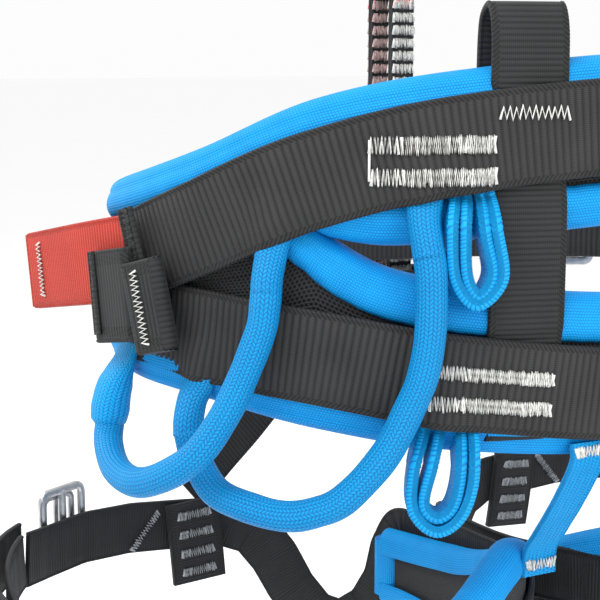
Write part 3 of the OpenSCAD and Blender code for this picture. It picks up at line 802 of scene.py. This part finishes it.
def red_tail(side, mirror):
    """The strap's free end: two layers, a rolled tip and one row of stitching."""
    at, axes = ring(KEEPER_A, KEEPER_OFF, KEEPER_Z), ring_axes(KEEPER_A, TILT)
    made = Made()
    at = at - ((KEEPER_DEEP + TAIL_T) / 2 + 0.3) * axes[1] + TAIL_LIFT * axes[2]
    for k, (s1, y0) in enumerate(((TAIL_LEN, -0.95), (TAIL_LEN - 2, 0.95))):
        s = np.linspace(-5, s1, 40)[:, None]
        p = at + s * axes[0] + (y0 + tail_sag(s)) * axes[1]
        webbing(made, p, np.broadcast_to(axes[1], p.shape), 29 - 0.4 * k, t=1.75, pitch=1.8, rib=0.2)
    end = at + (TAIL_LEN - 0.6) * axes[0] + tail_sag(TAIL_LEN - 1) * axes[1]
    p = end + np.linspace(-13.6, 13.6, 20)[:, None] * axes[2]
    frames_sweep(made, p, np.broadcast_to(axes[1], p.shape), oval(1.5, 1.9, 14), mat=0)
    row = TAIL_LEN - 14.0
    sewn = at + row * axes[0] + (2.2 + tail_sag(row)) * axes[1]
    bartack(made, sewn, axes[2], axes[0], axes[1], 20, 3.0, 1.5, 0.42, 1, dense=False)
    made.build("red_tail" + side, [RED, WHITE_YARN], "tail" + side, ["strap_tail" + side], "red_webbing",
               mirror=mirror)


# --- buckles ---------------------------------------------------------------------------------------

def buckle(name, at, axes, w, h, bar, t, mat, body, nodes, slot, mirror, wave_z=0.0):
    """A flat metal frame with a middle bar: w along the strap, h the window's height."""
    x, y, z = axes
    made = Made()
    q = resample(oblong(w - bar, h + bar, 3.4, 10), 1.0, True)
    p = at + q[:, :1] * x + q[:, 1:] * z
    sec = oval(bar / 2, t / 2, 16, 3.2)
    frames_sweep(made, p, np.broadcast_to(y, p.shape), sec, closed=True)
    v = np.linspace(-h / 2 - bar / 2, h / 2 + bar / 2, 24)[:, None]
    p = at + v * z + wave_z * np.cos(v / h * math.pi) * y
    frames_sweep(made, p, np.broadcast_to(y, p.shape), oval(bar * 0.55, t * 0.55, 16, 2.4))
    return made.build(name, [mat], body, nodes, slot, mirror=mirror)


WAIST_BUCKLE_A = -48


def waist_buckles(side, mirror):
    """A frame on the strap, with a smaller sliding frame on it."""
    axes = ring_axes(WAIST_BUCKLE_A)
    base = STRAP_OFF + WEB_T + 0.3
    at = ring(WAIST_BUCKLE_A, base + 1.2, FRONT_Z)
    buckle("waist_frame" + side, at, axes, 30, WEB_W + 1, 4, 2.4, STEEL, "belt",
           ["waist_buckle" + side], "steel_buckle", mirror)
    at = ring(WAIST_BUCKLE_A, base + 4.0, FRONT_Z)
    buckle("waist_slider_frame" + side, at, axes, 22, WEB_W - 4, 3.5, 2.2, STEEL_DARK, "waist_slider" + side,
           ["waist_buckle_bar" + side], "steel_bar", mirror, 0.3)


# --- gear loops ------------------------------------------------------------------------------------

# angle, height, distance out from the pad's face
FRONT_LOOP = [
    (35.3, -10, 9.4), (35.4, -16, 11), (35, -24, 12), (33, -39, 15), (31.2, -51, 19), (28.6, -62, 23),
    (24.2, -70, 24), (18, -75.5, 22), (11, -75, 18), (5.5, -69, 14), (3.5, -61, 11)]
REAR_LOOP = [
    (56.1, 2, 9.4), (56.5, -7, 11), (56.5, -22, 12), (55.8, -35, 12), (54.4, -45, 12), (51.3, -61, 13),
    (46.5, -75, 14), (42.6, -80, 14), (38.8, -82, 13.5), (33.9, -81, 12.5), (27.7, -77.5, 11),
    (23.7, -68, 9.5), (22.3, -59, 9.5)]
# the flattened ends of the tubes, sewn under the webbing
ROOTS = [[(35.4, -13, 10.4), (35.2, -8, 8.6), (35.1, -2, 6.0), (35.1, 4, 4.0), (35.2, 12, 2.2)],
         [(56.2, -1, 10.3), (55.9, 4, 8.6), (55.5, 10, 6.4), (55.4, 16, 4.2), (55.3, 25, 2.2)],
         [(22.3, -61, 9.5), (22.1, -56, 8.8), (21.8, -50, 6.4), (21.7, -45, 3), (21.6, -38, 1.4)]]
TUBE_R = 4.8


def on_belt(rows):
    rows = np.array(rows, float)
    return ring(rows[:, 0], rows[:, 2], rows[:, 1])


def round_tube(made, p, rx, ry, mat=0, sides=36):
    p = resample(curve(p), 0.8)
    f = np.linspace(0, 1, len(p))
    rx = np.interp(f, np.linspace(0, 1, len(rx)), rx)
    ry = np.interp(f, np.linspace(0, 1, len(ry)), ry)
    base = oval(1, 1, sides)
    t = np.linspace(0, 2 * math.pi, sides, endpoint=False)
    rib = 1 + 0.035 * np.abs(np.cos(t * 6)) ** 0.7
    swell = 1 + 0.012 * np.sin(np.arange(len(p)) * 0.31)
    sec = np.stack([base[:, 0] * rib * rx[:, None] * swell[:, None], base[:, 1] * rib * ry[:, None]], -1)
    out = unit(p * np.array([WAIST_B**2, WAIST_A**2, 0]))
    ds = np.linalg.norm(np.diff(p, axis=0), axis=1)
    s = np.concatenate([[0], np.cumsum(ds)])
    v = np.arange(sides) * (30.0 / sides)
    uv = np.stack(np.broadcast_arrays(s[:, None], v[None, :]), -1)
    return frames_sweep(made, p, out, sec, mat=mat, uv=uv)


def gear_loops(side, mirror):
    for name, rows in (("front", FRONT_LOOP), ("rear", REAR_LOOP)):
        made = Made()
        round_tube(made, on_belt(rows), [TUBE_R] * 2, [TUBE_R] * 2)
        made.build(f"gear_tube_{name}{side}", [BLUE_BRAID], f"gear_{name}{side}", [f"gear_loop_{name}{side}"],
                   "blue_tube", mirror=mirror)
    made = Made()
    for rows in ROOTS:
        round_tube(made, on_belt(rows), [4.78, 4.85, 5.2, 5.8, 6.4], [4.75, 4.6, 3.9, 2.9, 1.6])
    made.build("gear_tube_roots" + side, [BLUE_BRAID], "belt", (), "blue_tube", mirror=mirror)
    # the folded tab round the front loop's front end
    made = Made()
    rows = [(3.2, -36, 3.0), (3.2, -41, 4.6), (3.2, -47, 7.4), (3.3, -53, 9.8), (3.5, -59, 11.2),
            (3.7, -64, 12.4)]
    p = resample(curve(on_belt(rows)), 0.8)
    f = np.linspace(0, 1, len(p))
    rx = np.interp(f, [0, 0.3, 0.6, 0.88, 0.96, 1], [6.4, 7.0, 7.2, 6.8, 5.8, 4.4])
    ry = np.interp(f, [0, 0.25, 0.5, 0.8, 0.95, 1], [1.2, 2.4, 5.4, 6.4, 5.8, 4.2])
    sec = oval(1, 1, 32, 2.2) * np.stack([rx, ry], -1)[:, None]
    frames_sweep(made, p, unit(p * np.array([WAIST_B**2, WAIST_A**2, 0])), sec)
    made.build("gear_tab" + side, [BLUE_FLAT], "belt", ["gear_sleeve" + side], "blue_webbing", mirror=mirror)


# --- small flat loops ------------------------------------------------------------------------------

LOOP_OFF, LOOP_W, LOOP_LAYERS = 7.0, 9.5, 2


def flat_loop(name, outer, inner, body, nodes, mirror):
    """A loop of folded flat webbing, edge on; outer and inner outline it as (angle, height)."""
    made = Made()
    for j in range(LOOP_LAYERS):
        f = (j + 0.5) / LOOP_LAYERS
        rows = curve(np.array(outer, float) * (1 - f) + np.array(inner, float) * f)
        tuck = 7.4 * blend01((rows[:, 1] - rows[0, 1] + 13) / 10)
        p = ring(rows[:, 0], LOOP_OFF - tuck, rows[:, 1])
        face = np.cross(tangents(p), ring_out(rows[:, 0]))
        webbing(made, p, face, LOOP_W - 0.5 * (j % 2), t=6.6 / LOOP_LAYERS, pitch=1.4, rib=0.14, selvedge=1.0)
    made.build(name, [BLUE_FLAT], body, nodes, "blue_webbing", mirror=mirror)


UPPER_OUT = [(58.4, 20), (57.9, 8), (58.5, -8), (61.7, -16.4), (65.4, -8), (64.7, 8), (63.8, 20)]
UPPER_IN = [(61.2, 20), (61.1, 6), (61.3, -6), (62.2, -11), (63.0, -5), (62.0, 6), (61.5, 20)]
LOWER_OUT = [(54.8, -53), (53.2, -70), (53.9, -81), (57.2, -88.4), (60.6, -84), (62.5, -72), (62.6, -53)]
LOWER_IN = [(58.7, -53), (58.0, -63), (56.4, -76), (57.4, -79.8), (58.8, -77), (59.4, -68), (59.5, -53)]
HAUL_OUT = [(87.0, -61), (85, -76), (85.6, -97), (90, -111), (94.4, -97), (95, -76), (93.0, -61)]
HAUL_IN = [(88.7, -61), (86.8, -77), (87.4, -95), (90, -106.6), (92.6, -95), (93.2, -77), (91.3, -61)]


# --- tie-in points and belay loop ------------------------------------------------------------------

TIE_X, TIE_Y = -33.0, -117.6
BELAY_W, BELAY_T, BELAY_RY, BELAY_TOP, BELAY_H = 12.0, 4.0, 11.0, 94.0, 158.0


def tie_ins():
    """Two doubled sleeves of webbing, one above the other, barred at each side."""
    xyz = np.eye(3)
    for name, z, h in (("tie_in_upper", FRONT_Z, 20), ("tie_in_lower", -48.0, 18)):
        made = Made()
        at = np.array([TIE_X, TIE_Y, z])
        sleeve(made, at, xyz, 44.8, 16.8, h, r=6.4, pitch=1.8, rib=0.2)
        sleeve(made, at, xyz, 42.4, 14.4, h - 0.8, r=5.4, t=1.2, pitch=1.8, rib=0.14)
        for x in (-15.5, 15.5):
            for y in (-1, 1):
                bartack(made, at + np.array([x, y * 9.3, 0]), UP, xyz[0], y * xyz[1], h - 4, 4, 1.2, 0.4, 1)
        made.build(name + "_band", [BLACK_STRAP, WHITE_YARN], "belt", [name], "black_webbing")


def belay():
    """Two nested bands, barred with white thread on one leg and pale red on the other."""
    made = Made()
    y0, z0 = TIE_Y + BELAY_T / 2 - BELAY_RY, BELAY_TOP - BELAY_H / 2
    for inset, w in ((1.0, BELAY_W), (2.95, BELAY_W - 0.3)):
        q = resample(oblong(2 * (BELAY_RY - inset), BELAY_H - 2 * inset, 10 - inset, 12), 0.8, True)
        p = np.stack([np.full(len(q), TIE_X), y0 + q[:, 0], z0 + q[:, 1]], -1)
        webbing(made, p, np.cross(tangents(p, True), X), w, t=1.85, pitch=1.4, rib=0.16, closed=True,
                selvedge=1.2)
    bars = np.arange(z0 - BELAY_H / 2 + 13, z0 + BELAY_H / 2 - 10, 5.8)
    for sy, mat in ((1, 1), (-1, 2)):
        for face in (1, -1):
            y = y0 + sy * (BELAY_RY - BELAY_T / 2) + face * 2.0
            for z in bars:
                bartack(made, np.array([TIE_X, y, z]), X, UP, np.array([0, face, 0.0]), BELAY_W - 0.8, 3.5,
                        0.72, 0.5, mat)
    for s in (-1, 1):
        at = np.array([TIE_X, y0 + s * (BELAY_RY - 0.2), BELAY_TOP - 10.5])
        bartack(made, at, X, UP, np.array([0, s, 0.0]), BELAY_W - 1, 4.6, 0.9, 0.45, 3)
    made.build("belay_band", [BLACK_SMOOTH, WHITE_YARN, PINK_YARN, RED_YARN], "belay", ["belay_loop"],
               "black_webbing")


# --- leg loops -------------------------------------------------------------------------------------

def leg_z(a, k):
    return smooth_row(LEG, a, k)


def ease_ends(pts, dist, r):
    """Rounds off the ends of a pad by drawing its sections in."""
    mid = pts.mean(1, keepdims=True)
    k = np.sqrt(np.clip(1 - (1 - np.clip(dist / r, 0, 1)) ** 2, 0.02, 1))[:, None, None]
    flat = pts - mid
    flat = np.concatenate([flat[..., :2] * k, flat[..., 2:] * (0.93 + 0.07 * k)], -1)
    return mid + flat


def leg_pad(side, mirror):
    a = np.concatenate([[6, 6.3, 6.8, 7.5, 8.5], np.arange(10, 201, 2.0), [202.5, 203.5, 204.2, 204.7, 205]])
    mid, half = -4.6, 3.9
    t = np.linspace(0, 2 * math.pi, 56, endpoint=False)
    c, s = np.cos(t), np.sin(t)
    z0, z1 = leg_z(a, 3) + 1.2, leg_z(a, 1) - 1.2
    x = np.broadcast_to(mid + half * np.sign(c) * np.abs(c) ** 0.36, (len(a), 56))
    z = (z0 + z1)[:, None] / 2 + (z1 - z0)[:, None] / 2 * np.sign(s) * np.abs(s) ** 0.36
    pts = leg_ring(a[:, None], x, z)
    run = np.concatenate([[0], np.cumsum(np.linalg.norm(np.diff(pts.mean(1), axis=0), axis=1))])
    pts = ease_ends(pts, np.minimum(run, run[-1] - run), 6.0)
    made = Made()
    made.grid(pts)
    o = made.build("leg_pad" + side, [MESH], "leg" + side, ["leg_foam" + side, "leg_lining" + side],
                   "black_mesh", mirror=mirror)
    edge_a = np.append(np.arange(6, 205.1, 1.6), 205.0)
    for k, s, name, nodes in ((1, -1, "top", ["leg_binding" + side]), (3, 1, "bottom", [])):
        binding(f"leg_edge_{name}{side}", edge_a, lambda q, k=k: leg_z(q, k), s, 11.0, nodes, puff=1.0,
                leg_in=8.0, place=leg_ring, normal=leg_out, across=(-9.0, -0.4), body="leg" + side,
                mirror=mirror)
    made = Made()
    for e in (7.5, 203.5):
        z = np.linspace(float(leg_z(e, 3)) + 3, float(leg_z(e, 1)) - 3, 30)
        p = leg_ring(e, -4.6, z)
        frames_sweep(made, p, np.broadcast_to(leg_out(e), p.shape), oval(6.5, 5.6, 24, 3.0))
    made.build("leg_edge_ends" + side, [BLUE_KNIT], "leg" + side, (), "blue_binding", mirror=mirror)


# angle and height of the leg strap's hanging run round the front, where there is no pad
LEG_FRONT = [(206, -150), (208, -164), (213, -178), (221, -187), (230, -184), (237, -172), (242, -158),
             (248, -146), (256, -141), (266, -140), (278, -138), (292, -137), (306, -137), (317, -135)]
LEG_WEB = 22.0
LEG_BUCKLE_A, LEG_BUCKLE_Z = -62, -128
LEG_KEEPER_A, LEG_TAIL_OFF, LEG_TAIL_Z = -18, 7.9, -134
PATCH_SAG = 0.0011


def leg_straps(side, mirror):
    body = "leg" + side
    a = np.linspace(-40, 203, 80)
    rows = np.vstack([np.stack([a, leg_z(a, 2)], -1), LEG_FRONT])
    p = leg_ring(rows[:, 0], 1.1, rows[:, 1])
    q = resample(np.hstack([p, leg_out(rows[:, 0])]), 4.0)
    q = np.hstack([curve(q[:, :3], n=5), unit(curve(q[:, 3:], n=5))])
    made = webbing(Made(), q[:, :3], q[:, 3:], LEG_WEB, pitch=1.4, rib=0.16)
    for a0, z0 in ((200, float(leg_z(200, 2))), (14, float(leg_z(14, 2)))):
        bartack(made, leg_ring(a0, 2.3, z0), UP, leg_axes(a0)[0], leg_out(a0), 18, 5, 1.2, 0.42, 1)
    made.build("leg_strap" + side, [BLACK_SMOOTH, GREY_YARN], body, ["leg_webbing" + side], "black_webbing",
               mirror=mirror)
    # patch with four bars
    at, ax = leg_ring(264, -3.0, -147), leg_axes(264)
    ax = (unit(ax[0] + 0.1 * UP), -ax[1], unit(UP - 0.1 * ax[0]))
    made = Made()
    v = np.linspace(18, -18, 25)[:, None]
    p = at + v * ax[2] - PATCH_SAG * (v - 18) ** 2 * ax[1]
    webbing(made, p, np.broadcast_to(ax[1], p.shape), 24, t=3.0, pitch=1.4, rib=0.16)
    for i in range(4):
        vv = 12.75 - 8.5 * i
        bar = at + vv * ax[2] + (1.75 - PATCH_SAG * (vv - 18) ** 2) * ax[1]
        bartack(made, bar, ax[0], ax[2], ax[1], 15, 3.0, 0.9, 0.45, 1)
    made.build("leg_patch_band" + side, [BLACK_SMOOTH, GREY_YARN], body, ["leg_patch" + side],
               "black_webbing", mirror=mirror)
    made = Made()
    s0, s1 = leg_ring(271, -0.5, -131), leg_ring(279, -0.5, -149)
    d = unit(s1 - s0)
    bartack(made, (s0 + s1) / 2, d, np.cross(d, leg_out(276)), -leg_out(276), 20, 2.6, 1.2, 0.42)
    made.build("leg_seam" + side, [GREY_YARN], body, (), "black_webbing", mirror=mirror)
    # buckle, keeper and tail
    ax = leg_axes(LEG_BUCKLE_A)
    off = 0.1 + WEB_T + 0.3
    at = leg_ring(LEG_BUCKLE_A, off + 1.2, LEG_BUCKLE_Z)
    buckle("leg_frame" + side, at, ax, 26, LEG_WEB + 1, 3.5, 2.4, STEEL, body,
           ["leg_buckle" + side], "steel_buckle", mirror)
    at = leg_ring(LEG_BUCKLE_A, off + 3.8, LEG_BUCKLE_Z)
    buckle("leg_slider_frame" + side, at, ax, 19, LEG_WEB - 4, 3, 2.2, STEEL_DARK, "leg_slider" + side,
           ["leg_buckle_bar" + side], "steel_bar", mirror, 0.3)
    made = Made()
    x, y, z = leg_axes(LEG_KEEPER_A)
    at = leg_ring(LEG_KEEPER_A, LEG_TAIL_OFF, LEG_TAIL_Z)
    sleeve(made, at, (y, z, x), 4.8, 25.8, 14, r=2.2, pitch=1.2, rib=0.14)
    made.build("leg_keeper_band" + side, [BLACK_SMOOTH], body, ["leg_keeper" + side], "black_webbing",
               mirror=mirror)
    a = np.linspace(-48, 4, 40)
    p = leg_ring(a, LEG_TAIL_OFF, LEG_TAIL_Z)
    made = webbing(Made(), p, leg_out(a), LEG_WEB, pitch=1.4, rib=0.16)
    made.build("leg_tail_band" + side, [BLACK_SMOOTH], body, ["leg_tail" + side], "black_webbing",
               mirror=mirror)


# given points: the strap from a leg loop up towards the tie-in, and the riser at the back
TIE = [(81, -105, -128), (72, -109, -116), (60, -113, -102), (47, -116, -84), (36, -118, -66),
       (30, -118.5, -50)]
RISER = [(32, 105.8, -62), (32, 105.7, -69), (32, 97, -84), (32, 88, -97), (32, 82.6, -105), (32, 82, -114)]


def leg_links(side, mirror):
    dx = (TIE_X if side == "_l" else -TIE_X) + 4.0
    rows = np.array(TIE, float) + np.arange(6)[:, None] / 5 * np.array([dx, 0, 0])
    p = curve(rows)
    front = np.broadcast_to([0.0, -1, 0], p.shape)
    made = webbing(Made(), p, front, STRAP_W * 0.84, t=2.0, pitch=1.8, rib=0.2)
    made.build("leg_tie_band" + side, [BLACK_STRAP], "leg" + side, ["leg_tie_strap" + side], "black_webbing",
               mirror=mirror)
    p = curve(RISER)
    out = np.cross(tangents(p), X)
    made = webbing(Made(), p, out, 14, t=1.6, pitch=1.1, rib=0.12, selvedge=1.0)
    for z in (-65.0, -110.0):
        i = int(np.argmin(np.abs(p[:, 2] - z)))
        n = unit(out)[i]
        n = n if n[1] > 0 else -n
        bartack(made, p[i] + 0.9 * n, X, np.cross(n, X), n, 12, 3, 1.1, 0.4, 1)
    o = made.build("riser_band" + side, [BLUE_FLAT, WHITE_YARN], None, ["riser" + side], "blue_webbing",
                   mirror=mirror)
    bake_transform(o)


for side, mirror in SIDES:
    keeper(side, mirror)
    red_tail(side, mirror)
    waist_buckles(side, mirror)
    gear_loops(side, mirror)
    flat_loop("small_loop_upper" + side, UPPER_OUT, UPPER_IN, "accessory_upper_body" + side,
              ["accessory_upper" + side], mirror)
    flat_loop("small_loop_lower" + side, LOWER_OUT, LOWER_IN, "accessory_lower_body" + side,
              ["accessory_lower" + side], mirror)
    leg_pad(side, mirror)
    leg_straps(side, mirror)
    leg_links(side, mirror)
flat_loop("haul_band", HAUL_OUT, HAUL_IN, "haul", ["haul_loop"], False)
tie_ins()
belay()

# --- camera, light and floor -----------------------------------------------------------------------

CAMERA_AT, CAMERA_LENS = (324, 467, 60), 88.08
CAMERA_PITCH, CAMERA_HEADING = math.radians(9.5), math.atan2(-0.886, -0.462)
LIGHT_AIM = Vector((0.05, 0.0, -0.02))


def stage():
    sc = bpy.context.scene
    cam = bpy.data.cameras.new("camera")
    cam.sensor_width = 36
    cam.lens = CAMERA_LENS
    o = bpy.data.objects.new("camera", cam)
    sc.collection.objects.link(o)
    o.location = Vector(CAMERA_AT) * MM
    flat = math.cos(CAMERA_PITCH)
    look = Vector((math.cos(CAMERA_HEADING) * flat, math.sin(CAMERA_HEADING) * flat, -math.sin(CAMERA_PITCH)))
    o.rotation_euler = look.to_track_quat("-Z", "Y").to_euler()
    sc.camera = o
    low = CAD_BOX[0][2]
    bpy.ops.mesh.primitive_plane_add(size=60, location=(0, 0, low - 0.25))
    floor = bpy.context.object
    floor.name = "floor"
    m, nt, b = node_mat("pale_floor", (0.97, 0.97, 0.97), 0.9)
    nt.links.new(ramp(nt, noise(nt, 3), (0.96, 0.96, 0.96), (0.98, 0.98, 0.98)), b.inputs["Base Color"])
    floor.data.materials.append(m)
    world = bpy.data.worlds.new("studio")
    sc.world = world
    world.use_nodes = True
    bg = world.node_tree.nodes["Background"]
    bg.inputs[0].default_value = (1, 1, 1, 1)
    bg.inputs[1].default_value = 0.98
    for name, loc, size, power_w in (("key", (0.9, 0.5, 1.5), 1.2, 26), ("fill", (-0.5, 1.6, 0.6), 1.5, 12),
                                     ("rim", (0.9, -1.2, 0.9), 1.2, 14)):
        light = bpy.data.lights.new(name, "AREA")
        light.energy, light.size = power_w, size
        lo = bpy.data.objects.new(name, light)
        lo.location = loc
        lo.rotation_euler = (LIGHT_AIM - Vector(loc)).to_track_quat("-Z", "Y").to_euler()
        sc.collection.objects.link(lo)
    sc.view_settings.view_transform = "Standard"


stage()
